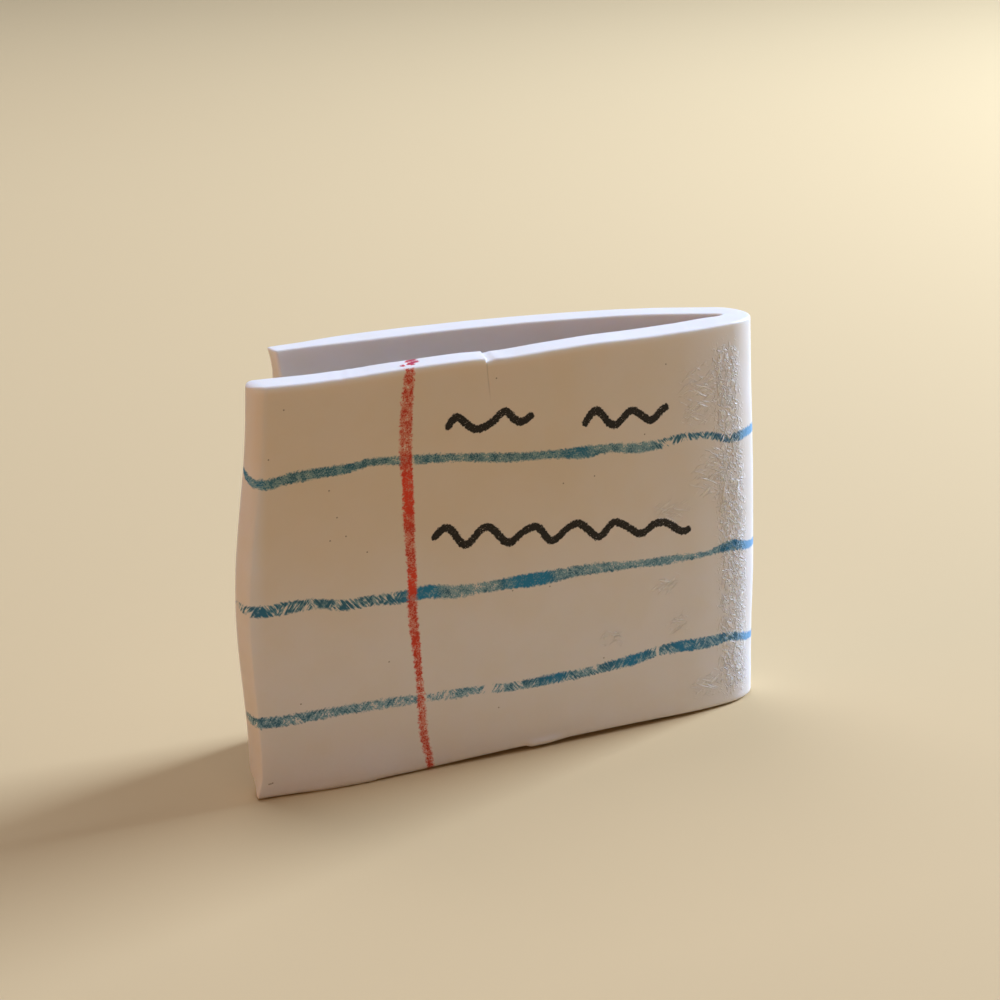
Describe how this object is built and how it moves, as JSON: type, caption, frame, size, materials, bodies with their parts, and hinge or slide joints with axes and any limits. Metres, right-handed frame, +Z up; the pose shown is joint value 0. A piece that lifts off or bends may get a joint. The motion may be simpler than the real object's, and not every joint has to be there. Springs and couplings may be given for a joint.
{
  "type": "folded note",
  "caption": "Small note of thick clay-like sheet, ruled in blue with a red margin line, folded in a tight U and standing open on its long edge.",
  "frame": {"origin": "on the floor, under the middle of the note's bounding box", "axes": "+X from the free ends to the fold, -Y out of the front panel, +Z up from the foot edge"},
  "size_m": [0.0524, 0.0152, 0.0373],
  "materials": {
    "clay_white": "satin hand-rolled polymer clay, with lines in coloured pencil"
  },
  "bodies": {
    "root": {"folded_sheet": "clay_white"}
  },
  "joints": []
}
